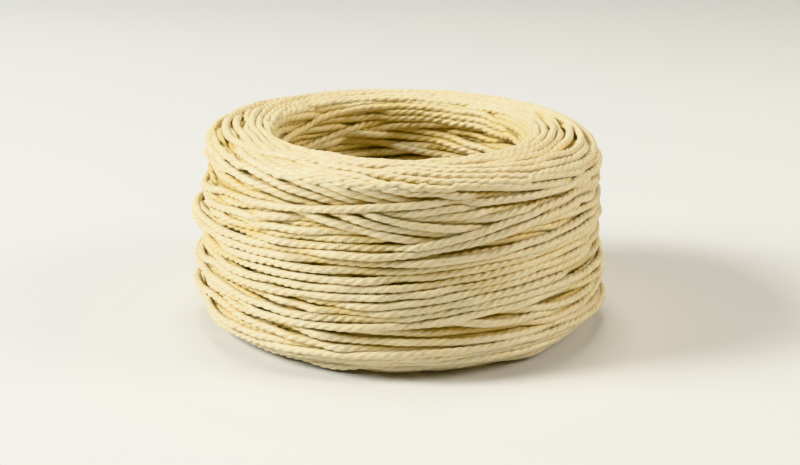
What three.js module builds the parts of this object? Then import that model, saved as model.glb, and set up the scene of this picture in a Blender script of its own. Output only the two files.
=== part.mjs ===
// A bobbin of heavy polyester thread: one ring of wound thread with an open
// middle and no core, which holds itself up and stands on its lower face.
// Millimetres, +Z up. The origin is at the middle of the lower face.
// Angles are read in degrees around the ring, from the front (-Y) towards +X.
import * as THREE from "three";
import { mergeVertices } from "three/addons/utils/BufferGeometryUtils.js";

// Driving dimensions of the ring
const HEIGHT = 16.1;
const TOP_RADIUS = 16.05;
const FOOT_RADIUS = 16.6;
const HOLE_RADIUS = 10.0;
const HOLE_LIP_WIDE = 1.1;
const HOLE_LIP_TALL = 1.7;

// How the ring is uneven, every 45 degrees from the front. shoulder and foot are
// the width and height of the rounding at the top and the bottom of the outer
// wall, and sway is how far that wall leans out there.
const SECTIONS = [
  { shoulder: [3.0, 1.0], foot: [3.4, 3.0], sway: 0.0 },
  { shoulder: [3.4, 1.3], foot: [3.7, 3.1], sway: 0.1 },
  { shoulder: [3.9, 2.0], foot: [3.4, 2.6], sway: 0.1 },
  { shoulder: [3.4, 1.2], foot: [3.6, 3.0], sway: -0.1 },
  { shoulder: [3.0, 1.0], foot: [3.8, 3.3], sway: 0.0 },
  { shoulder: [2.8, 0.9], foot: [3.6, 3.2], sway: 0.1 },
  { shoulder: [2.5, 0.8], foot: [3.9, 3.6], sway: 0.0 },
  { shoulder: [2.8, 0.9], foot: [3.5, 3.1], sway: -0.1 },
];

// The main twists of the outer wall. Each is a bundle of turns that lie side by
// side: wide across, and lift above the rest. route is the height of its
// middle every 45 degrees from the front.
const GROOVE = 0.5;
const TWISTS = [
  { wide: 2.4, lift: 0.1, route: [12.3, 11.0, 10.9, 12.4, 14.2, 15.2, 15.6, 14.8] },
  { wide: 2.0, lift: 0.1, route: [5.9, 4.3, 3.7, 4.0, 5.6, 7.2, 8.1, 7.6] },
  { wide: 1.8, lift: 0.0, route: [-0.1, 0.0, -0.3, -0.5, -0.3, 0.1, 0.4, 0.2] },
  { wide: 1.8, lift: 0.15, route: [3.0, 3.1, 2.7, 3.0, 3.8, 4.3, 4.4, 4.0] },
  { wide: 1.8, lift: 0.15, route: [1.6, 1.8, 1.3, 0.9, 1.2, 1.9, 2.4, 2.2] },
  { wide: 2.6, lift: 0.2, route: [8.5, 9.1, 9.4, 8.8, 7.9, 7.6, 8.2, 8.4] },
  { wide: 2.6, lift: 0.2, route: [5.3, 6.4, 6.2, 5.0, 4.2, 4.6, 5.4, 5.6] },
  { wide: 1.7, lift: 0.25, route: [10.3, 12.2, 13.0, 12.2, 10.6, 9.5, 9.3, 9.8] },
  { wide: 1.7, lift: 0.2, route: [13.4, 13.7, 13.6, 12.8, 11.8, 11.3, 11.5, 12.2] },
  { wide: 1.9, lift: 0.15, route: [15.2, 14.9, 15.2, 15.7, 16.4, 17.0, 17.0, 16.4] },
];

// Stray turns that stand proud where the ring is seen edge on: the middle of
// the stretch that stands out, its height, and how far it stands out.
const STRAY_WIDE = 1.3;
const STRAY_REACH = 38;
const STRAY_TURNS = [
  { around: -92, height: 9.3, lift: 0.75 },
  { around: -95, height: 5.6, lift: 0.55 },
  { around: -88, height: 3.1, lift: 0.4 },
  { around: 88, height: 9.1, lift: 0.35 },
  { around: 92, height: 5.5, lift: 0.4 },
  { around: 86, height: 2.3, lift: 0.6 },
];

// The turns that show on the upper face run side by side, and those of the
// hole's wall cross each other. bundles is how many are raised, and wander is
// how far each sways on its way round. before is how far over the rounding
// ahead of that face the first one starts.
const FACE_TWISTS = { bundles: 3, wander: 0.35, overlap: 1.1, lift: 0.0, phase: 140, before: 1.5 };
const HOLE_TWISTS = { bundles: 5, wander: 1.7, overlap: 0.9, lift: 0.1, phase: 200, before: -0.6 };

// A point lower than this is on the surface that the ring stands on
const STANDING = 1e-6;

// How finely the ring is drawn
const STEPS_AROUND = 100;
const STEPS = { foot: 6, wall: 20, shoulder: 5, face: 3, lip: 3, hole: 9, underside: 2 };

const THREAD_COLOUR = 0xe2d5ab;

const radians = THREE.MathUtils.degToRad;
const lerp = THREE.MathUtils.lerp;

// A value between those given every 45 degrees, along a smooth closed curve
function aroundTable(values, degrees) {
  const place = THREE.MathUtils.euclideanModulo(degrees, 360) / (360 / values.length);
  const first = Math.floor(place);
  const t = place - first;
  const at = (k) => values[(k + values.length) % values.length];
  const [a, b, c, d] = [at(first - 1), at(first), at(first + 1), at(first + 2)];
  const bend = (2 * a - 5 * b + 4 * c - d) * t * t;
  return b + 0.5 * ((c - a) * t + bend + (3 * (b - c) + d - a) * t * t * t);
}

// The distance between two angles
function turnBetween(a, b) {
  const difference = THREE.MathUtils.euclideanModulo(a - b, 360);
  return Math.min(difference, 360 - difference);
}

// A round ridge, 1 along its middle and 0 from its edges on
function ridge(offset, wide) {
  return Math.sqrt(Math.max(0, 1 - (2 * offset / wide) ** 2));
}

// The ring cut through at one angle: a closed run of points, each with its
// outward direction and its lay, which is the way travelled from the foot of the
// outer wall over the upper face and down the hole. On the wall, lay is height.
function cutThrough(degrees) {
  const here = (read) => aroundTable(SECTIONS.map(read), degrees);
  const shoulder = { wide: here((s) => s.shoulder[0]), tall: here((s) => s.shoulder[1]) };
  const foot = { wide: here((s) => s.foot[0]), tall: here((s) => s.foot[1]) };
  const sway = here((s) => s.sway);
  const wallTop = HEIGHT - shoulder.tall;
  const wallAt = (z) => lerp(FOOT_RADIUS, TOP_RADIUS, z / HEIGHT) + sway;
  const points = [];

  // A quarter of an ellipse about (r, z), from one direction to another
  const corner = (r, z, wide, tall, from, steps, face) => {
    for (let k = 0; k < steps; k++) {
      const angle = radians(from + 90 * (k / steps));
      const out = new THREE.Vector2(Math.cos(angle) * tall, Math.sin(angle) * wide).normalize();
      points.push({ r: r + wide * Math.cos(angle), z: z + tall * Math.sin(angle), out, face });
    }
  };
  const line = (r0, z0, r1, z1, steps, face) => {
    const out = new THREE.Vector2(z1 - z0, r0 - r1).normalize();
    for (let k = 0; k < steps; k++) {
      const t = k / steps;
      points.push({ r: lerp(r0, r1, t), z: lerp(z0, z1, t), out, face });
    }
  };

  const footInner = wallAt(foot.tall) - foot.wide;
  const shoulderInner = wallAt(wallTop) - shoulder.wide;
  const lipOuter = HOLE_RADIUS + HOLE_LIP_WIDE;
  const holeTop = HEIGHT - HOLE_LIP_TALL;
  corner(footInner, foot.tall, foot.wide, foot.tall, 270, STEPS.foot, "foot");
  line(wallAt(foot.tall), foot.tall, wallAt(wallTop), wallTop, STEPS.wall, "wall");
  corner(shoulderInner, wallTop, shoulder.wide, shoulder.tall, 0, STEPS.shoulder, "shoulder");
  line(shoulderInner, HEIGHT, lipOuter, HEIGHT, STEPS.face, "face");
  corner(lipOuter, holeTop, HOLE_LIP_WIDE, HOLE_LIP_TALL, 90, STEPS.lip, "lip");
  line(HOLE_RADIUS, holeTop, HOLE_RADIUS, HOLE_LIP_TALL, STEPS.hole, "hole");
  corner(lipOuter, HOLE_LIP_TALL, HOLE_LIP_WIDE, HOLE_LIP_TALL, 180, STEPS.lip, "lower lip");
  line(lipOuter, 0, footInner, 0, STEPS.underside, "underside");

  // The way travelled, made equal to the height half way up the wall
  let way = 0;
  points.forEach((p, k) => {
    const before = points[k - 1] ?? p;
    way += Math.hypot(p.r - before.r, p.z - before.z);
    p.lay = way;
  });
  const middle = points[STEPS.foot + STEPS.wall / 2];
  const shift = middle.z - middle.lay;
  points.forEach((p) => {
    p.lay += shift;
  });
  return points;
}

// The height of evenly spaced bundles that sway between two lays
function evenTwists(twists, lay, degrees, start, end) {
  const pitch = (end - start) / twists.bundles;
  let high = 0;
  for (let k = 0; k < twists.bundles; k++) {
    const sway = twists.wander * Math.sin(radians(degrees + twists.phase * k));
    const offset = lay - (start + pitch * (k + 0.5) + sway);
    high = Math.max(high, (GROOVE + twists.lift) * ridge(offset, pitch * twists.overlap));
  }
  return high;
}

// How far the surface stands out at one point of a cut
function relief(point, degrees, starts) {
  if (point.z < STANDING || point.face === "lower lip") return 0;
  let high = 0;
  for (const twist of TWISTS) {
    const offset = point.lay - aroundTable(twist.route, degrees);
    high = Math.max(high, (GROOVE + twist.lift) * ridge(offset, twist.wide));
  }
  for (const stray of STRAY_TURNS) {
    const along = ridge(turnBetween(degrees, stray.around), 2 * STRAY_REACH) ** 2;
    const across = ridge(point.lay - stray.height, STRAY_WIDE);
    high = Math.max(high, (GROOVE * Math.sqrt(along) + stray.lift * along) * across);
  }
  const onFace = evenTwists(FACE_TWISTS, point.lay, degrees, starts.face, starts.hole);
  const inHole = evenTwists(HOLE_TWISTS, point.lay, degrees, starts.hole, starts.end);
  return Math.max(high, onFace, inHole) - GROOVE;
}

// The whole ring: a plain one is turned first, and then each of its points is
// moved to the cut at its angle and raised by the twists there.
function makeWoundThread() {
  const plain = cutThrough(0).map((p) => new THREE.Vector2(p.r, p.z));
  plain.push(plain[0].clone());
  const ring = new THREE.LatheGeometry(plain, STEPS_AROUND);
  const place = ring.getAttribute("position");
  for (let step = 0; step <= STEPS_AROUND; step++) {
    const degrees = 360 * ((step % STEPS_AROUND) / STEPS_AROUND);
    const cut = cutThrough(degrees);
    const first = (face) => cut.find((p) => p.face === face).lay;
    const starts = {
      face: first("face") - FACE_TWISTS.before,
      hole: first("lip") - HOLE_TWISTS.before,
      end: first("lower lip"),
    };
    for (let k = 0; k < plain.length; k++) {
      const p = cut[k % cut.length];
      const stand = relief(p, degrees, starts);
      const r = p.r + p.out.x * stand;
      const z = Math.max(0, p.z + p.out.y * stand);
      const a = radians(degrees);
      place.setXYZ(step * plain.length + k, r * Math.sin(a), -r * Math.cos(a), z);
    }
  }
  ring.deleteAttribute("normal");
  ring.deleteAttribute("uv");
  const closed = mergeVertices(ring);
  closed.computeBoundingBox();
  const middle = closed.boundingBox.getCenter(new THREE.Vector3());
  closed.translate(-middle.x, -middle.y, 0);
  closed.computeVertexNormals();
  return closed;
}

const bobbin = new THREE.Group();
const thread = new THREE.MeshStandardMaterial({ color: THREAD_COLOUR, roughness: 0.75, metalness: 0 });
const woundThread = new THREE.Mesh(makeWoundThread(), thread);
woundThread.name = "wound_thread";
bobbin.add(woundThread);

export default bobbin;
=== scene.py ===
import math

import bpy
import numpy as np
from mathutils import Matrix, Vector


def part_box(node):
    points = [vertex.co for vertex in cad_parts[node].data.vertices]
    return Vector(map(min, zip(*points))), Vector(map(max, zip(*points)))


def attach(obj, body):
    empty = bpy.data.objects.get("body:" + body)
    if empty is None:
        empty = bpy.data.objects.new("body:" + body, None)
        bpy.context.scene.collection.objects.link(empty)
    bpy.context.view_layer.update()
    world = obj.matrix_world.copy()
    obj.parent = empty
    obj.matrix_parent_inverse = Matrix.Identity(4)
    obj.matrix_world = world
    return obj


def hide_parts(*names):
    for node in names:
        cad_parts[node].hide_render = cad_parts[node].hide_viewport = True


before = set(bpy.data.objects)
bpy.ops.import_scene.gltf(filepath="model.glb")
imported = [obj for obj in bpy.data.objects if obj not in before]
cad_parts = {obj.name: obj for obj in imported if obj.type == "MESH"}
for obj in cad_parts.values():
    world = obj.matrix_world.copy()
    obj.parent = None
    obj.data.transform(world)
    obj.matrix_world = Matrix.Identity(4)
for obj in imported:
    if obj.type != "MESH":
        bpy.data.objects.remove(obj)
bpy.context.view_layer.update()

# The camera
# It stands at the front of the ring, a little above it and close enough for the far side
# to look smaller. It aims a little under the middle of the ring, and leans slightly.
ring_low, ring_high = (np.array(corner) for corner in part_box("wound_thread"))
ring_tall = float(ring_high[2] - ring_low[2])
ring_middle = Vector((0.0, 0.0, ring_tall / 2))
CAMERA_AWAY = 0.1386
CAMERA_UP = math.radians(16.6)
CAMERA_LEAN = 0.012
AIM_DROP = 0.00128
LENS_MM = 74.8
NEAREST_SEEN = 0.01

camera = bpy.data.objects.new("camera", bpy.data.cameras.new("camera"))
bpy.context.collection.objects.link(camera)
camera.data.lens = LENS_MM
camera.data.clip_start = NEAREST_SEEN
camera.location = ring_middle + CAMERA_AWAY * Vector((0, -math.cos(CAMERA_UP), math.sin(CAMERA_UP)))
aim = ring_middle - Vector((0, 0, AIM_DROP)) - camera.location
lean = Matrix.Rotation(CAMERA_LEAN, 3, "Z").to_quaternion()
camera.rotation_euler = (aim.to_track_quat("-Z", "Y") @ lean).to_euler()
bpy.context.scene.camera = camera

# The floor and the light
# A plain pale floor lies under the ring. Soft square lights hang round it, the strongest
# on its left, and a dim even glow comes from all round.
FLOOR_HALF = 1.2
FLOOR_COLOUR = (0.79, 0.78, 0.75, 1)
FLOOR_ROUGH = 0.7
GLOW_COLOUR = (1.0, 0.92, 0.74, 1)
GLOW_STRENGTH = 0.03
LIGHT_AWAY = 0.38
LIGHT_SIZE = 0.16
LIGHTS = (
    # name, degrees round from the front, degrees up, watts, colour
    ("left", -80, 32, 1.85, (0.94, 0.98, 1.0)),
    ("right", 82, 32, 0.85, (1.0, 0.95, 0.86)),
    ("front", -8, 14, 0.12, (1.0, 0.95, 0.84)),
    ("above", 180, 78, 0.62, (1.0, 0.97, 0.9)),
)

floor_corners = [(x * FLOOR_HALF, y * FLOOR_HALF, 0) for x, y in ((-1, -1), (1, -1), (1, 1), (-1, 1))]
floor_mesh = bpy.data.meshes.new("floor")
floor_mesh.from_pydata(floor_corners, [], [(0, 1, 2, 3)])
floor = bpy.data.objects.new("floor", floor_mesh)
bpy.context.collection.objects.link(floor)
floor_paint = bpy.data.materials.new("pale floor")
floor_paint.use_nodes = True
floor_shader = floor_paint.node_tree.nodes["Principled BSDF"]
floor_shader.inputs["Base Color"].default_value = FLOOR_COLOUR
floor_shader.inputs["Roughness"].default_value = FLOOR_ROUGH
floor_mesh.materials.append(floor_paint)

glow = bpy.data.worlds.new("studio glow")
glow.use_nodes = True
glow_shader = glow.node_tree.nodes["Background"]
glow_shader.inputs["Color"].default_value = GLOW_COLOUR
glow_shader.inputs["Strength"].default_value = GLOW_STRENGTH
bpy.context.scene.world = glow
bpy.context.scene.view_settings.view_transform = "Khronos PBR Neutral"


def hang_light(name, around, up, watts, colour):
    """Hang a square soft light that faces the ring."""
    around = math.radians(around)
    up = math.radians(up)
    way = Vector((math.sin(around) * math.cos(up), -math.cos(around) * math.cos(up), math.sin(up)))
    lamp = bpy.data.lights.new(name, "AREA")
    lamp.size = LIGHT_SIZE
    lamp.energy = watts
    lamp.color = colour
    light = bpy.data.objects.new(name, lamp)
    light.location = ring_middle + way * LIGHT_AWAY
    light.rotation_euler = (-way).to_track_quat("-Z", "Y").to_euler()
    bpy.context.collection.objects.link(light)


for name, around, up, watts, colour in LIGHTS:
    hang_light(f"soft light, {name}", around, up, watts, colour)

# The thread
# Three plies of polyester fibre are twisted together into one heavy thread and lightly
# waxed. It is cream, with a painted highlight on its crests and painted shade in its grooves, deep in the
# ring and in the hole.
CREAM = (0.78, 0.60, 0.22, 1)
# Pale cream is the painted highlight on the crests, and also the colour of random pale patches.
PALE_CREAM = (0.88, 0.78, 0.55, 1)
STRAW = (0.74, 0.56, 0.22, 1)
# Painted shade for the turns that lie deep in the ring and in the hole.
PAINTED_SHADE_AMBER = (0.55, 0.42, 0.14, 1)
# Painted shade that darkens the ply grooves, in random patches.
PAINTED_GROOVE_SHADE = (0.84, 0.70, 0.42, 1)
FINISH = (
    # what the thread's shader is set to, and the value
    ("Roughness", 0.45),
    ("Specular IOR Level", 0.75),
    ("Sheen Weight", 0.2),
    ("Sheen Roughness", 0.4),
    ("Sheen Tint", (1.0, 0.97, 0.9, 1)),
    ("Subsurface Weight", 0.2),
    ("Subsurface Radius", (1.0, 0.6, 0.25)),
    ("Subsurface Scale", 0.0003),
)
FIBRE_STRETCH = (0.8, 2.0, 2.0)
# Each noise is given by its scale and its detail.
FIBRE_NOISE = (1.6, 4)
PATCH_NOISE = (330, 3)
PAINTED_GROOVE_SHADE_NOISE = (900, 2)
NOISE_ROUGH = 0.62
# Each share is nought at its first value and full at its second. A third one says how much
# full is. Depths are in thread thicknesses under the ring's outline.
# Painted highlight: the outer crest of each thread is pale cream and its sides are cream.
PAINTED_HIGHLIGHT_CREST_TO_SIDE = (0.25, 0.95)
# Painted shade: amber on the turns that lie deep under the ring's outline.
PAINTED_SHADE_SHARE = (0.85, 1.8, 0.8)
PATCH_SHARE = (0.45, 0.75, 0.6)
STRAW_SHARE = (0.62, 0.36, 0.45)
# Painted shade in the ply grooves, where the groove patches allow it.
PAINTED_GROOVE_SHADE_SHARE = (0.2, 1.0, 0.75)
PAINTED_GROOVE_SHADE_PATCHES = (0.38, 0.62)
FIBRE_BUMP = 0.5
FIBRE_TALL = 0.00005

thread_finish = bpy.data.materials.new("cream twisted thread")
thread_finish.use_nodes = True
nodes = thread_finish.node_tree.nodes
wires = thread_finish.node_tree.links
shader = nodes["Principled BSDF"]
for socket, value in FINISH:
    shader.inputs[socket].default_value = value


def add_noise(place, scale, detail):
    """A fine noise over a place on the thread."""
    noise = nodes.new("ShaderNodeTexNoise")
    noise.inputs["Scale"].default_value = scale
    noise.inputs["Detail"].default_value = detail
    noise.inputs["Roughness"].default_value = NOISE_ROUGH
    wires.new(place, noise.inputs["Vector"])
    return noise.outputs["Fac"]


def stretch_share(value, low, high, most=1.0):
    """Turn a value, as it goes from low to high, into a share from nought to the most."""
    reach = nodes.new("ShaderNodeMapRange")
    reach.inputs["From Min"].default_value = low
    reach.inputs["From Max"].default_value = high
    reach.inputs["To Max"].default_value = most
    wires.new(value, reach.inputs["Value"])
    return reach.outputs[0]


def mix_colours(share, first, second, blend="MIX"):
    """Mix two colours, each a socket or a plain value, by a share."""
    mixer = nodes.new("ShaderNodeMix")
    mixer.data_type = "RGBA"
    mixer.blend_type = blend
    for socket, value in ((mixer.inputs[0], share), (mixer.inputs[6], first), (mixer.inputs[7], second)):
        if isinstance(value, tuple):
            socket.default_value = value
        else:
            wires.new(value, socket)
    return mixer.outputs[2]


def read_from_mesh(name):
    """The value that the thread's mesh keeps under a name."""
    reader = nodes.new("ShaderNodeAttribute")
    reader.attribute_name = name
    return reader


fibre_way = nodes.new("ShaderNodeVectorMath")
fibre_way.operation = "MULTIPLY"
fibre_way.inputs[1].default_value = FIBRE_STRETCH
wires.new(read_from_mesh("spun").outputs["Vector"], fibre_way.inputs[0])
fibres = add_noise(fibre_way.outputs[0], *FIBRE_NOISE)
where = nodes.new("ShaderNodeTexCoord").outputs["Object"]
deep = read_from_mesh("deep").outputs["Fac"]
# Painted highlight: pale cream on the crests, fading to cream on the sides.
body = mix_colours(stretch_share(deep, *PAINTED_HIGHLIGHT_CREST_TO_SIDE), PALE_CREAM, CREAM)
body = mix_colours(stretch_share(add_noise(where, *PATCH_NOISE), *PATCH_SHARE), body, PALE_CREAM)
body = mix_colours(stretch_share(fibres, *STRAW_SHARE), body, STRAW)
# Painted shade: the ply grooves are darkened in random patches.
painted_groove_shade_mix = nodes.new("ShaderNodeMath")
painted_groove_shade_mix.operation = "MULTIPLY"
ply_groove = read_from_mesh("ply_groove").outputs["Fac"]
wires.new(stretch_share(ply_groove, *PAINTED_GROOVE_SHADE_SHARE), painted_groove_shade_mix.inputs[0])
wires.new(stretch_share(add_noise(where, *PAINTED_GROOVE_SHADE_NOISE), *PAINTED_GROOVE_SHADE_PATCHES), painted_groove_shade_mix.inputs[1])
body = mix_colours(painted_groove_shade_mix.outputs[0], body, PAINTED_GROOVE_SHADE, "MULTIPLY")
# Painted shade: amber on the turns deep in the ring and in the hole.
body = mix_colours(stretch_share(deep, *PAINTED_SHADE_SHARE), body, PAINTED_SHADE_AMBER)
wires.new(body, shader.inputs["Base Color"])
fibre_bump = nodes.new("ShaderNodeBump")
fibre_bump.inputs["Strength"].default_value = FIBRE_BUMP
fibre_bump.inputs["Distance"].default_value = FIBRE_TALL
wires.new(fibres, fibre_bump.inputs["Height"])
wires.new(fibre_bump.outputs["Normal"], shader.inputs["Normal"])

# The thread is spun as a tube round its course. Sizes are in mm from here on. Each wander is
# given by its size, in mm, radians or as a share, and by the mm over which it comes and goes.
MM = 0.001
THREAD = 0.67
PLIES = 3
PLY_TWIST = 2.5
PLY_GROOVE = 0.2
STEP = 0.27
FEWEST_STEPS = 6
OUTWARD_WANDER = (0.03, 1.9)
UPWARD_WANDER = (0.035, 1.9)
TWIST_WANDER = (0.35, 4)
THICKNESS_WANDER = (0.05, 1.6)
GROOVE_WANDER = (0.3, 3)
GROOVE_LIMITS = (0.4, 1.6)
END_POINT = 0.02


def spin_thread(points, outs, depth, closed, thickness, seed, ply_sides):
    """Spin a tube of twisted plies round a row of points in mm. It closes on itself, or else
    draws to a point at both ends. How deep each place lies in the ring is kept for the
    painted highlight and shade of its colour."""
    dice = np.random.default_rng(seed)
    run = np.concatenate([[0], np.cumsum(np.linalg.norm(np.diff(points, axis=0), axis=1))])
    count = max(int(run[-1] / STEP), FEWEST_STEPS)
    along = np.linspace(0, run[-1], count, endpoint=not closed)

    def wander(size, reach):
        """A value that wanders along the thread and ends as it starts."""
        knots = np.linspace(0, run[-1], int(run[-1] / reach) + 3)
        values = dice.normal(0, size, len(knots))
        values[-1] = values[0]
        return np.interp(along, knots, values)[:, None]

    line, ways = (np.stack([np.interp(along, run, row[:, axis]) for axis in range(3)], 1)
                  for row in (points, outs))
    ahead = np.roll(line, -1, 0) - np.roll(line, 1, 0) if closed else np.gradient(line, axis=0)
    ahead /= np.linalg.norm(ahead, axis=1, keepdims=True)
    up = np.array([0, 0, 1.0]) - ahead * ahead[:, 2:3]
    up /= np.linalg.norm(up, axis=1, keepdims=True)
    outward = np.cross(ahead, up)
    line = line + outward * wander(*OUTWARD_WANDER) + up * wander(*UPWARD_WANDER)
    twists = round(run[-1] / PLY_TWIST)
    twist = 2 * math.pi * twists * along[:, None] / run[-1] + wander(*TWIST_WANDER)
    thick = thickness / 2 * (1 + wander(*THICKNESS_WANDER))
    if not closed:
        thick[[0, -1]] *= END_POINT
    sides = PLIES * ply_sides
    turn = np.arange(sides) * 2 * math.pi / sides
    if ply_sides % 2 == 0:
        from_groove = np.abs((np.arange(sides) / ply_sides) % 1 - 0.5) * 2
        in_groove = (1 - from_groove)**2
    else:
        in_groove = (np.arange(sides) % ply_sides == 0) * 1.0
    groove = PLY_GROOVE * np.clip(1 + wander(*GROOVE_WANDER), *GROOVE_LIMITS)
    around = twist + turn
    far = thick * (1 - groove * in_groove)
    rings = (line[:, None] + outward[:, None] * (far * np.cos(around))[..., None]
             + up[:, None] * (far * np.sin(around))[..., None])
    rows = np.arange(count if closed else count - 1)[:, None]
    first = np.arange(sides)
    second = (first + 1) % sides
    this_ring = rows * sides
    next_ring = (rows + 1) % count * sides
    quads = np.stack([this_ring + first, next_ring + first, next_ring + second, this_ring + second], -1)
    spun = np.stack(np.broadcast_arrays(along[:, None], np.cos(turn), np.sin(turn)), -1)
    grooves = np.broadcast_to(in_groove, (count, sides))
    proud = ((rings - line[:, None]) * ways[:, None]).sum(-1)
    depths = (np.interp(along, run, depth)[:, None] - proud) / THREAD
    return rings.reshape(-1, 3), quads.reshape(-1, 4), spun.reshape(-1, 3), grooves.ravel(), depths.ravel()


def add_piece(name, vertices, faces, spun, grooves, depths):
    """Make one piece of the ring from its mesh in mm, and fix it to the ring's body."""
    mesh = bpy.data.meshes.new(name)
    mesh.vertices.add(len(vertices))
    mesh.vertices.foreach_set("co", (vertices * MM).ravel())
    mesh.loops.add(faces.size)
    mesh.loops.foreach_set("vertex_index", faces.ravel())
    mesh.polygons.add(len(faces))
    mesh.polygons.foreach_set("loop_start", np.arange(len(faces)) * faces.shape[1])
    mesh.update(calc_edges=True)
    mesh.shade_smooth()
    mesh.attributes.new("spun", "FLOAT_VECTOR", "POINT").data.foreach_set("vector", spun.ravel())
    mesh.attributes.new("ply_groove", "FLOAT", "POINT").data.foreach_set("value", grooves)
    mesh.attributes.new("deep", "FLOAT", "POINT").data.foreach_set("value", depths)
    mesh.materials.append(thread_finish)
    piece = bpy.data.objects.new(name, mesh)
    bpy.context.collection.objects.link(piece)
    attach(piece, "root")
    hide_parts("wound_thread")


# The inner mass
# The ring is thread right through. Its outline is that of the wall, the foot, the two end
# faces and the hole, and the turns too deep to be seen are one plain body of the same form.
TOP_SINK = 0.09
TALL = ring_tall / MM - TOP_SINK
WALL_TOP = 16.15
WALL_FOOT = 16.75
FOOT_FLAT = 13.05
FOOT_TALL = 3.2
FACE_INNER = 11.1
HOLE = 10.0
# These two corners are given by their width and height.
SHOULDER = (2.95, 0.96)
HOLE_LIP = (1.1, 1.7)
SMALLEST_CORNER = 0.15
CORNER_STEPS = 60
STRAIGHT_STEPS = 160
OUTLINE_STEPS = 840
INNER_MASS = 1.75
INNER_MASS_ROWS = 84
INNER_MASS_COLUMNS = 90


def ring_outline(inset):
    """The section of the ring at an inset, as even points from the foot up and round."""
    points = []

    def corner(across, up, wide, tall, start):
        """A quarter turn round a middle, from a start in degrees."""
        for angle in np.radians(start + np.linspace(0, 90, CORNER_STEPS, endpoint=False)):
            points.append((across + max(wide - inset, SMALLEST_CORNER) * math.cos(angle),
                           up + max(tall - inset, SMALLEST_CORNER) * math.sin(angle)))

    def straight(across, up, to_across, to_up):
        """A straight run from one point to another."""
        for share in np.linspace(0, 1, STRAIGHT_STEPS, endpoint=False):
            points.append((across + (to_across - across) * share, up + (to_up - up) * share))

    corner(FOOT_FLAT, FOOT_TALL, WALL_FOOT - FOOT_FLAT, FOOT_TALL, 270)
    straight(WALL_FOOT - inset, FOOT_TALL, WALL_TOP - inset, TALL - SHOULDER[1])
    corner(WALL_TOP - SHOULDER[0], TALL - SHOULDER[1], SHOULDER[0], SHOULDER[1], 0)
    straight(WALL_TOP - SHOULDER[0], TALL - inset, FACE_INNER, TALL - inset)
    corner(FACE_INNER, TALL - HOLE_LIP[1], HOLE_LIP[0], HOLE_LIP[1], 90)
    straight(HOLE + inset, TALL - HOLE_LIP[1], HOLE + inset, HOLE_LIP[1])
    corner(FACE_INNER, HOLE_LIP[1], HOLE_LIP[0], HOLE_LIP[1], 180)
    straight(FACE_INNER, inset, FOOT_FLAT, inset)
    around = np.array(points + points[:1])
    run = np.concatenate([[0], np.cumsum(np.hypot(*np.diff(around, axis=0).T))])
    even = np.linspace(0, run[-1], OUTLINE_STEPS, endpoint=False)
    return np.stack([np.interp(even, run, around[:, 0]), np.interp(even, run, around[:, 1])], 1), run[-1]


def set_round(section, angles):
    """Set points of the section, as distances from the axis and heights, round the ring."""
    return np.stack([section[..., 0] * np.sin(angles), -section[..., 0] * np.cos(angles),
                     section[..., 1] + 0 * angles], -1)


mass_section = ring_outline(INNER_MASS + THREAD / 2)[0][::OUTLINE_STEPS // INNER_MASS_ROWS]
mass_angles = np.arange(INNER_MASS_COLUMNS) * 2 * math.pi / INNER_MASS_COLUMNS
mass_points = set_round(mass_section[:, None], mass_angles[None]).reshape(-1, 3)
mass_row = np.arange(len(mass_section))[:, None]
mass_column = np.arange(INNER_MASS_COLUMNS)[None]
next_row = (mass_row + 1) % len(mass_section)
next_column = (mass_column + 1) % INNER_MASS_COLUMNS
mass_faces = np.stack([mass_row * INNER_MASS_COLUMNS + mass_column,
                       mass_row * INNER_MASS_COLUMNS + next_column,
                       next_row * INNER_MASS_COLUMNS + next_column,
                       next_row * INNER_MASS_COLUMNS + mass_column], -1).reshape(-1, 4)
# The inner mass gets the full painted amber shade of the deepest turns, and the painted groove shade in
# patches.
add_piece("inner_mass", mass_points, mass_faces, mass_points,
          np.ones(len(mass_points)), np.full(len(mass_points), INNER_MASS / THREAD))

# The first turns
# The thread is wound round and round, a few turns side by side and then across, and each
# turn rides over those before it. The first layer goes all the way round the section.
FIRST_TURNS = 84
STATIONS = 240
BETWEEN_TURNS = (0.3, 0.5, 0.7)
TURN_WANDER = 0.08
EVEN_ANGLES = (0, 60, 120, 180, 240)
EVEN_WANDER = 0.1
SWAY_RANGE = (0.6, 1.2)
station_angles = np.arange(STATIONS) * 360 / STATIONS
outline, outline_long = ring_outline(0)
outline_along = np.roll(outline, -1, 0) - np.roll(outline, 1, 0)
outline_along /= np.linalg.norm(outline_along, axis=1, keepdims=True)
outline_out = np.stack([outline_along[:, 1], -outline_along[:, 0]], 1)
# Lay is the way along the outline in mm. On the wall it is nearly the height over the floor.
outline_lay = np.arange(OUTLINE_STEPS) * outline_long / OUTLINE_STEPS
on_wall = outline[:, 0] > FOOT_FLAT
half_way = int(np.argmin(np.where(on_wall, np.abs(outline[:, 1] - TALL / 2), TALL)))
outline_lay += TALL / 2 - outline_lay[half_way]
windings = []


def smooth_through(knots, values, at):
    """A smooth curve through values that are given at uneven knots."""
    slopes = np.gradient(values, knots)
    slot = np.clip(np.searchsorted(knots, at, side="right") - 1, 0, len(knots) - 2)
    gap = knots[slot + 1] - knots[slot]
    t = (at - knots[slot]) / gap
    return ((2 * t**3 - 3 * t**2 + 1) * values[slot] + (t**3 - 2 * t**2 + t) * gap * slopes[slot]
            + (3 * t**2 - 2 * t**3) * values[slot + 1] + (t**3 - t**2) * gap * slopes[slot + 1])


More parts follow.
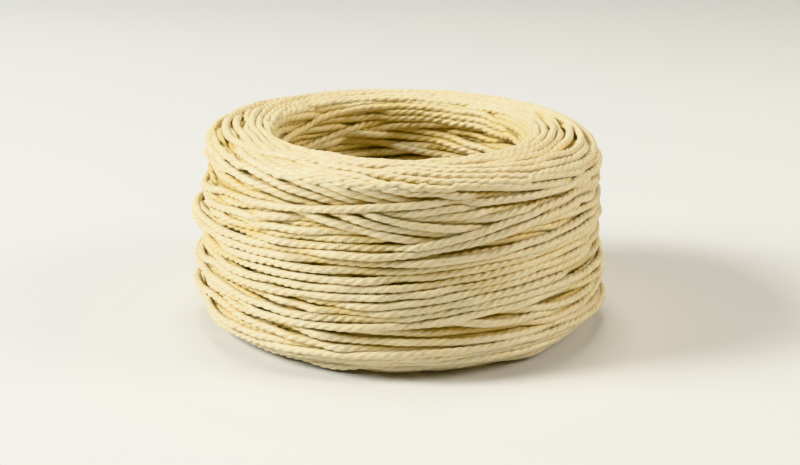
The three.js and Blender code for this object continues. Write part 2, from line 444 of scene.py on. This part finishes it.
def wind(name, angles, turns, sway, seed):
    """Wind the thread turn after turn. Each turn's lays are given at some angles, and between
    its last angle and the next turn's first it wanders by sway, alike through a bundle."""
    dice = np.random.default_rng(seed)
    knots = []
    values = []
    bundle_sway = {}
    for number, (bundle, lays) in enumerate(turns):
        knots.extend(360 * number + np.array(angles))
        values.extend(lays)
        if bundle not in bundle_sway:
            bundle_sway[bundle] = dice.normal(0, sway, 3)
        following = turns[(number + 1) % len(turns)][1][0]
        gap = 360 + angles[0] - angles[-1]
        for share, wander in zip(BETWEEN_TURNS, bundle_sway[bundle]):
            knots.append(360 * number + angles[-1] + gap * share)
            values.append(lays[-1] * (1 - share) + following * share + wander + dice.normal(0, TURN_WANDER))
    whole = 360 * len(turns)
    knots = np.array(knots[-3:] + knots + knots[:3], float)
    knots[:3] -= whole
    knots[-3:] += whole
    values = np.array(values[-3:] + values + values[:3], float)
    at = np.arange(len(turns) * STATIONS) * 360 / STATIONS
    windings.append((name, smooth_through(knots, values, at).reshape(len(turns), STATIONS)))


def wind_evenly(name, first, last, turns, bundle_of, sway, seed):
    """Wind even turns between two lays, in bundles that sway across one another."""
    dice = np.random.default_rng(seed)
    way = np.array(EVEN_ANGLES) / 360
    laid = []
    for number in range(turns):
        if number % bundle_of == 0:
            crest = dice.uniform(0, 2 * math.pi)
            swing = sway * dice.uniform(*SWAY_RANGE)
        lays = first + (last - first) * (number + way) / turns + swing * np.cos(2 * math.pi * way - crest)
        laid.append((number // bundle_of, lays))
    wind(name, EVEN_ANGLES, laid, EVEN_WANDER, seed)


wind_evenly("first_turns", first=outline_lay[0], last=outline_lay[0] + outline_long,
            turns=FIRST_TURNS, bundle_of=5, sway=0.8, seed=31)

# The turns of the hole
# The hole's wall is the thread's own inner turns, which cross one another at a low angle.
# Nothing lines it. Three runs of turns, one over another, cover it from lip to lip.
wind_evenly("hole_turns", first=25.5, last=36.0, turns=16, bundle_of=4, sway=1.5, seed=23)
wind_evenly("hole_turns", first=26.5, last=36.0, turns=12, bundle_of=3, sway=1.4, seed=24)
wind_evenly("hole_turns", first=21.5, last=27.5, turns=8, bundle_of=2, sway=0.5, seed=27)

# The turns of the end faces
# Both ends are the same thread again, wound nearly flat. The lower one is what the ring
# stands on, and the upper one falls off in a soft shoulder to the wall.
wind_evenly("sole_turns", first=35.5, last=40.0, turns=8, bundle_of=3, sway=0.3, seed=25)
wind_evenly("face_turns", first=16.6, last=21.6, turns=7, bundle_of=3, sway=0.5, seed=21)
wind_evenly("face_turns", first=17.2, last=21.2, turns=5, bundle_of=2, sway=0.5, seed=22)

# The last strands of the hole
# A few strands of the same thread are laid last in the hole. They are loose, so they look
# thicker than the rest, and they stand a little proud of the turns behind them.
LOOSE_THREAD = 0.72
HOLE_ANGLES = (110, 130, 150, 170, 185, 200, 215, 230, 250)
HOLE_STRANDS = (
    # strand, heights from the hole's right side round the back to its left, the deepest first
    ("bottom, falling", (13.2, 12.6, 11.95, 11.4, 11.15, 11.0, 10.9, 10.8, 10.8)),
    ("bottom, level", (11.7, 11.6, 11.6, 11.8, 11.8, 11.72, 11.7, 11.8, 12.0)),
    ("bottom, rising", (10.4, 10.7, 11.0, 11.4, 11.85, 12.25, 12.5, 12.88, 13.35)),
    ("upper rising", (12.0, 12.3, 12.55, 12.97, 13.3, 13.6, 13.85, 14.0, 14.2)),
    ("second falling", (14.9, 14.6, 14.3, 14.0, 13.55, 13.0, 12.5, 12.2, 12.0)),
    ("lower rising", (11.3, 11.5, 12.0, 12.4, 12.65, 12.98, 13.25, 13.5, 13.8)),
    ("third falling", (15.1, 14.9, 14.65, 14.35, 14.02, 13.72, 13.1, 12.6, 12.2)),
    ("under the lip", (14.5, 14.6, 14.8, 15.0, 15.0, 15.05, 15.1, 15.2, 15.6)),
    ("long, level", (14.33, 14.3, 14.57, 14.64, 14.6, 14.5, 14.42, 14.5, 14.8)),
    ("lip", (15.85, 15.9, 15.95, 16.05, 16.08, 16.05, 15.75, 15.95, 16.05)),
    ("proud", (15.15, 15.2, 15.27, 15.48, 15.63, 15.45, 14.9, 14.4, 14.0)),
)


def hole_lay(heights):
    """The lay of a height on the hole's wall or on its lip."""
    in_hole = (outline[:, 0] < FACE_INNER) & (outline[:, 1] > HOLE_LIP[1])
    return np.interp(heights, outline[in_hole, 1][::-1], outline_lay[in_hole][::-1])


laid_before = sum(len(winding) for name, winding in windings)
loose_turns = slice(laid_before, laid_before + len(HOLE_STRANDS))
hole_strands = [(strand, hole_lay(heights)) for strand, heights in HOLE_STRANDS]
wind("hole_strands", HOLE_ANGLES, hole_strands, sway=0.4, seed=12)

# The turns of the wall
# The last turns cover the wall and the shoulder. They run in bundles side by side, some
# rising to the right and some falling, and the last strand rides over those it meets.
WALL_ANGLES = (-60, -40, -20, 0, 20, 40, 60)
WALL_BUNDLES = (
    # bundle, turns, lays of its lowest turn, lays of its highest turn, the deepest first
    ("rim, rising", 4,
     (17.6, 18.0, 18.5, 19.0, 19.3, 19.4, 19.4), (20.0, 20.5, 21.0, 21.3, 21.5, 21.6, 21.6)),
    ("upper, falling", 3,
     (16.9, 15.65, 14.5, 13.1, 12.0, 11.4, 11.0), (18.4, 17.05, 15.75, 14.3, 13.1, 12.3, 11.8)),
    ("upper, rising", 2,
     (11.2, 11.55, 11.95, 12.4, 12.8, 12.85, 13.0), (11.8, 12.1, 12.5, 12.95, 13.35, 13.35, 13.8)),
    ("left, rising", 3,
     (10.3, 10.6, 10.95, 11.25, 11.7, 12.0, 12.2), (11.4, 11.8, 12.2, 12.6, 12.9, 13.0, 13.1)),
    ("middle, falling", 3,
     (13.7, 13.15, 12.35, 11.3, 10.75, 10.4, 10.3), (15.9, 14.85, 13.85, 12.5, 11.8, 11.4, 11.2)),
    ("lower, falling", 3,
     (8.6, 7.8, 6.75, 5.6, 4.45, 3.95, 3.5), (9.6, 9.0, 8.2, 7.3, 6.2, 5.55, 5.0)),
    ("lone, falling", 1,
     (5.2, 4.8, 4.4, 4.0, 3.75, 3.4, 3.1), (5.2, 4.8, 4.4, 4.0, 3.75, 3.4, 3.1)),
    ("rim, falling", 3,
     (20.4, 19.6, 18.6, 17.4, 16.5, 15.8, 15.6), (21.9, 21.2, 20.3, 19.2, 18.1, 17.2, 16.9)),
    ("shoulder, falling", 3,
     (19.0, 17.7, 16.15, 15.0, 14.6, 14.0, 13.6), (20.2, 19.1, 17.8, 16.5, 15.8, 15.2, 15.0)),
    ("foot, falling", 3,
     (2.5, 1.9, 1.6, 1.5, 1.4, 1.3, 1.2), (4.3, 3.9, 3.4, 3.3, 3.0, 2.9, 2.7)),
    ("sole", 2,
     (-1.3, -1.2, -1.0, -0.8, -0.8, -0.9, -1.0), (-0.6, -0.4, 0.0, 0.4, 0.4, 0.4, 0.5)),
    ("foot, rising", 3,
     (-0.1, 0.1, 0.5, 1.1, 1.4, 1.3, 1.2), (0.9, 1.2, 1.85, 2.3, 2.5, 2.35, 2.3)),
    ("lower, waving", 4,
     (4.3, 4.05, 4.25, 4.6, 5.25, 5.6, 5.6), (6.7, 6.45, 5.85, 6.1, 6.9, 7.3, 7.45)),
    ("middle, rising", 5,
     (6.0, 6.2, 6.5, 6.85, 7.45, 7.9, 8.1), (8.85, 9.05, 9.25, 9.35, 9.7, 10.2, 10.45)),
    ("proud pair", 2,
     (9.4, 9.6, 9.85, 9.95, 10.85, 11.75, 12.2), (9.95, 10.25, 10.4, 10.55, 11.5, 12.65, 13.0)),
    ("last", 1,
     (12.1, 12.65, 13.25, 13.65, 13.85, 13.85, 14.25), (12.1, 12.65, 13.25, 13.65, 13.85, 13.85, 14.25)),
)

wind_evenly("wall_turns", first=0.8, last=19.6, turns=20, bundle_of=3, sway=0.7, seed=26)
wall_turns = []
for bundle, turns, lowest, highest in WALL_BUNDLES:
    for share in np.linspace(0, 1, turns):
        wall_turns.append((bundle, np.array(lowest) * (1 - share) + np.array(highest) * share))
wind("wall_turns", WALL_ANGLES, wall_turns, sway=0.5, seed=11)

# Pulling the thread tight
# The turns are drawn in against the inner mass. They push one another aside where they lie
# side by side, and where two cross, the later one climbs over the earlier one.
FIRST_DEPTH = 0.9
LAYING_RISE = 1.6
SETTLE_STEPS = 130
SORT_EVERY = 6
NEIGHBOURS = 8
NEIGHBOUR_GAP = 0.9 * THREAD
PUSH = 0.25
DRAW_IN = 0.035
DRAW_IN_UNTIL = 0.85
HOLD_SIDE = 0.03
STIFFNESS = 0.35
PROUDEST = 0.35
PROUD_EASE = 0.3
CROSSING_LOOK = 16
CROSSING_NEAR = 0.92 * NEIGHBOUR_GAP
CROSSING_DEEP = 2.5 * NEIGHBOUR_GAP
NEAR_STEP = 6
TINY = 1e-9

lays = np.concatenate([winding for name, winding in windings])
turn_count = len(lays)
winding_starts = np.cumsum([0] + [len(winding) for name, winding in windings])
lay_steps = (lays - outline_lay[0]) / outline_long * OUTLINE_STEPS
home_step = np.floor(lay_steps).astype(int) % OUTLINE_STEPS
home_share = (lay_steps - np.floor(lay_steps))[..., None]
home = outline[home_step] * (1 - home_share) + outline[(home_step + 1) % OUTLINE_STEPS] * home_share
laid_rank = np.broadcast_to(np.arange(turn_count)[:, None], lays.shape)
spots = home + outline_out[home_step] * (LAYING_RISE * laid_rank[..., None] / turn_count - FIRST_DEPTH)


def along_thread(values, shift):
    """The values a number of stations further on along each winding."""
    moved = np.empty_like(values)
    for start, end in zip(winding_starts[:-1], winding_starts[1:]):
        flat = values[start:end].reshape((end - start) * STATIONS, -1)
        moved[start:end] = np.roll(flat, -shift, 0).reshape(values[start:end].shape)
    return moved


def find_places(spots):
    """Each spot's way out of the ring and along it, the outline beside it, and its own lay."""
    near = NEAR_STEP * ((spots[:, :, None] - outline[None, None, ::NEAR_STEP])**2).sum(-1).argmin(-1)
    out = outline_out[near]
    side = np.stack([-out[..., 1], out[..., 0]], -1)
    foot = outline[near]
    return out, side, foot, outline_lay[near] + ((spots - foot) * side).sum(-1)


def in_order(values, order):
    """Values of the spots of each station, in the order of their lays."""
    if values.ndim == 3:
        order = order[..., None]
    return np.take_along_axis(values, order, 0)


lay_round = [along_thread(lays, -CROSSING_LOOK), lays, along_thread(lays, CROSSING_LOOK)]
for step in range(SETTLE_STEPS):
    if step % SORT_EVERY == 0:
        out, side, foot, now = find_places(spots)
        order = np.argsort(now, axis=0)
        row_out = in_order(out, order)
        row_rank = in_order(laid_rank, order)
        row_lays = [in_order(each, order) for each in lay_round]
    ease = max(0.0, 1 - step / (SETTLE_STEPS * DRAW_IN_UNTIL))
    spots = spots - out * DRAW_IN * ease
    spots = spots + side * ((home - spots) * side).sum(-1, keepdims=True) * HOLD_SIDE
    row = in_order(spots, order)
    for away in range(1, NEIGHBOURS + 1):
        between = np.roll(row, -away, 0) - row
        squared = (between**2).sum(-1, keepdims=True)
        distance = np.sqrt(squared) + TINY
        aside = between * np.clip(NEIGHBOUR_GAP - distance, 0, None) * PUSH / distance
        later = np.where(np.roll(row_rank, -away, 0) > row_rank, 1.0, -1.0)[..., None]
        rise = (between * row_out).sum(-1, keepdims=True)
        across = np.clip(squared - rise**2, 0, None)
        wanted = np.sqrt(np.clip(NEIGHBOUR_GAP**2 - across, 0, None))
        climb = row_out * later * np.clip(wanted - rise * later, 0, NEIGHBOUR_GAP) * PUSH
        before, here, after = (np.roll(each, -away, 0) - each for each in row_lays)
        crossing = np.minimum(np.minimum(before * after, before * here), here * after) < 0
        over = crossing[..., None] & (across < CROSSING_NEAR**2) & (np.abs(rise) < CROSSING_DEEP)
        move = np.where(over, climb, aside)
        row = row - move + np.roll(move, away, 0)
    np.put_along_axis(spots, np.broadcast_to(order[..., None], spots.shape), row, 0)
    spots = spots + STIFFNESS * ((along_thread(spots, 1) + along_thread(spots, -1)) / 2 - spots)
    height = ((spots - foot) * out).sum(-1, keepdims=True)
    spots = spots + out * np.clip(-INNER_MASS - height, 0, None)
    spots = spots - out * np.clip(height - (PROUDEST - THREAD / 2), 0, None) * PROUD_EASE
    spots[..., 1] = np.maximum(spots[..., 1], THREAD / 2)

# The ring's fullness
# The settled turns swell or sink together until their crests fill the ring's outline, which
# bulges a little from place to place. The shoulder is full on the left and slopes on the right.
LAY_BINS = 160
NO_CREST = -2.0
SMOOTHINGS = 3
SMOOTH_LAY = 3
SMOOTH_ROUND = 6
CREST_SINK = 0.12
MOST_SHIFT = 0.7
BULGES = (
    # degrees round from the front, lay, out, reach in degrees, reach along the lay
    (-92, 9.1, 0.75, 20, 0.6),
    (-95, 5.6, 0.45, 20, 0.5),
    (-88, 3.1, 0.25, 25, 0.6),
    (-90, 12.1, -0.30, 40, 1.2),
    (-92, 13.5, -0.35, 22, 0.8),
    (-85, 15.5, -0.35, 30, 1.5),
    (90, 9.4, 0.30, 25, 0.6),
    (92, 5.5, 0.30, 20, 0.5),
    (86, 2.3, 0.45, 25, 0.7),
)
SHOULDER_ANGLES = (0, 45, 90, 135, 180, 225, 270, 315)
SHOULDER_WIDES = (3.0, 3.4, 3.9, 3.4, 3.0, 2.8, 2.5, 2.8)
SHOULDER_TALLS = (1.0, 1.3, 2.0, 1.2, 1.0, 0.9, 0.8, 0.9)
STEEPEST = 0.995
SHOULDER_STARTS = 10.5
SHOULDER_FADES = 5
# The turns of the hole get painted shade, as if they lay deeper than they do by this depth in mm.
HOLE_PAINTED_SHADE = 0.6

out, side, foot, now = find_places(spots)
bin_wide = outline_long / LAY_BINS
bin_of = np.floor((now - outline_lay[0]) / bin_wide).astype(int)
columns = np.broadcast_to(np.arange(STATIONS), now.shape)
height = ((spots - foot) * out).sum(-1)
crest = np.full((LAY_BINS, STATIONS), NO_CREST)
for shift in (-1, 0, 1):
    off = (bin_of + shift + 0.5) * bin_wide + outline_lay[0] - now
    top = height + np.sqrt(np.clip((THREAD / 2)**2 - off**2, 0, None))
    top = np.where(np.abs(off) < THREAD / 2, top, NO_CREST)
    np.maximum.at(crest, ((bin_of + shift) % LAY_BINS, columns), top)
for smoothing in range(SMOOTHINGS):
    for axis, reach in enumerate((SMOOTH_LAY, SMOOTH_ROUND)):
        crest = sum(np.roll(crest, shift, axis) for shift in range(-reach, reach + 1)) / (2 * reach + 1)
shift_out = np.clip(-CREST_SINK - crest, -MOST_SHIFT, MOST_SHIFT)
bin_lay = (outline_lay[0] + (np.arange(LAY_BINS) + 0.5) * bin_wide)[:, None]
for around, lay, rise, reach_around, reach_lay in BULGES:
    off_around = (station_angles[None] - around + 180) % 360 - 180
    shift_out += rise * np.exp(-(off_around / reach_around)**2 - ((bin_lay - lay) / reach_lay)**2)
in_bins = (now - outline_lay[0]) / bin_wide - 0.5
low_bin = np.floor(in_bins).astype(int)
bin_share = in_bins - low_bin
moved_out = (shift_out[low_bin % LAY_BINS, columns] * (1 - bin_share)
             + shift_out[(low_bin + 1) % LAY_BINS, columns] * bin_share)
spots = spots + out * moved_out[..., None]
spots[..., 1] = np.maximum(spots[..., 1], THREAD / 2)
# Painted shade: the depth kept for colour is made greater in the hole, so its turns are painted darker.
in_hole = np.clip((FACE_INNER - spots[..., 0]) / HOLE_LIP[0], 0, 1)
depths = HOLE_PAINTED_SHADE * in_hole - height - moved_out


def round_table(values):
    """A smooth curve round the ring through values at the shoulder's angles."""
    knots = np.array(SHOULDER_ANGLES[-2:] + SHOULDER_ANGLES + SHOULDER_ANGLES[:3], float)
    knots[:2] -= 360
    knots[-3:] += 360
    return smooth_through(knots, np.array(values[-2:] + values + values[:3], float), station_angles)


def shoulder_drop(across, wide, tall):
    """How far the shoulder has fallen from the face at a distance from the axis."""
    inward = np.clip((across - (WALL_TOP - wide)) / wide, 0, STEEPEST)
    return tall * (1 - np.sqrt(1 - inward**2))


drop = (shoulder_drop(spots[..., 0], round_table(SHOULDER_WIDES), round_table(SHOULDER_TALLS))
        - shoulder_drop(spots[..., 0], SHOULDER[0], SHOULDER[1]))
near_top = np.clip((spots[..., 1] - SHOULDER_STARTS) / SHOULDER_FADES, 0, 1)
spots[..., 1] -= drop * near_top**2 * (3 - 2 * near_top)

# Spinning the turns that show
# A stretch of thread is left out where the turns over it hide it, but the last strands of the
# hole are kept whole. The rest is spun, and fixed to the ring's body as part of its winding.
LOOKS = np.radians((-70, -45, -20, 0, 20, 45, 70))
LOOK_STARTS = (-0.6, 0.0, 0.6)
IN_FRONT = 0.1
HIDING_NEIGHBOURS = 9
HIDING_WIDTH = 0.97
KEEP_BEYOND = 5
FIRST_PLY_SIDES = 3
PLY_SIDES = 4
SEEDS_APART = 1000
PIECE_QUADS = 75000

order = np.argsort(now, axis=0)
row = in_order(spots, order)
row_out = in_order(out, order)
row_side = in_order(side, order)
row_shows = np.zeros(lays.shape, bool)
for look_angle in LOOKS:
    look = row_out * math.cos(look_angle) + row_side * math.sin(look_angle)
    look_side = np.stack([-look[..., 1], look[..., 0]], -1)
    for start in LOOK_STARTS:
        hidden = np.zeros(lays.shape, bool)
        for away in range(-HIDING_NEIGHBOURS, HIDING_NEIGHBOURS + 1):
            other = np.roll(row, -away, 0) - row
            ahead = (other * look).sum(-1)
            beside = np.abs((other * look_side).sum(-1) - start * THREAD / 2)
            hidden |= (ahead > IN_FRONT) & (beside < HIDING_WIDTH * THREAD / 2)
        row_shows |= ~hidden
shows = np.zeros(lays.shape, bool)
np.put_along_axis(shows, order, row_shows, 0)
kept = shows.copy()
kept[loose_turns] = True
for shift in range(-KEEP_BEYOND, KEEP_BEYOND + 1):
    kept |= along_thread(shows.astype(np.int8), shift).astype(bool)


def shown_stretches(first, last):
    """The stretches that show on the turns of one winding: their points, their ways out of
    the ring, their depths, and whether they close on themselves."""
    angles = np.radians(np.tile(station_angles, last - first))
    points = set_round(spots[first:last].reshape(-1, 2), angles)
    outs = set_round(out[first:last].reshape(-1, 2), angles)
    depth = depths[first:last].ravel()
    seen = kept[first:last].ravel()
    if seen.all():
        return [(np.concatenate([points, points[:1]]), np.concatenate([outs, outs[:1]]),
                 np.append(depth, depth[0]), True)]
    start = int(np.argmin(seen))
    seen = np.roll(seen, -start)
    points = np.roll(points, -start, 0)
    outs = np.roll(outs, -start, 0)
    depth = np.roll(depth, -start)
    edges = np.flatnonzero(np.diff(np.concatenate([[0], seen.astype(np.int8), [0]])))
    return [(points[begin:end], outs[begin:end], depth[begin:end], False)
            for begin, end in zip(edges[::2], edges[1::2]) if end - begin > KEEP_BEYOND]


spun_windings = {}
for number, (name, winding) in enumerate(windings):
    ply_sides = FIRST_PLY_SIDES if name == "first_turns" else PLY_SIDES
    thickness = LOOSE_THREAD if name == "hole_strands" else THREAD
    for stretch in shown_stretches(winding_starts[number], winding_starts[number + 1]):
        tubes = spun_windings.setdefault(name, [])
        tubes.append(spin_thread(*stretch, thickness, SEEDS_APART * number + len(tubes), ply_sides))

for name, tubes in spun_windings.items():
    all_rings, all_quads, all_spun, all_grooves, all_depths = zip(*tubes)
    starts = np.cumsum([0] + [len(rings) for rings in all_rings])
    quads = np.concatenate([faces + start for faces, start in zip(all_quads, starts)])
    vertices, spun, grooves, depth = (
        np.concatenate(rows) for rows in (all_rings, all_spun, all_grooves, all_depths))
    pieces = math.ceil(len(quads) / PIECE_QUADS)
    for piece, share in enumerate(np.array_split(quads, pieces)):
        used, renumbered = np.unique(share.ravel(), return_inverse=True)
        add_piece(f"{name}_{piece + 1}", vertices[used], renumbered.reshape(-1, 4),
                  spun[used], grooves[used], depth[used])
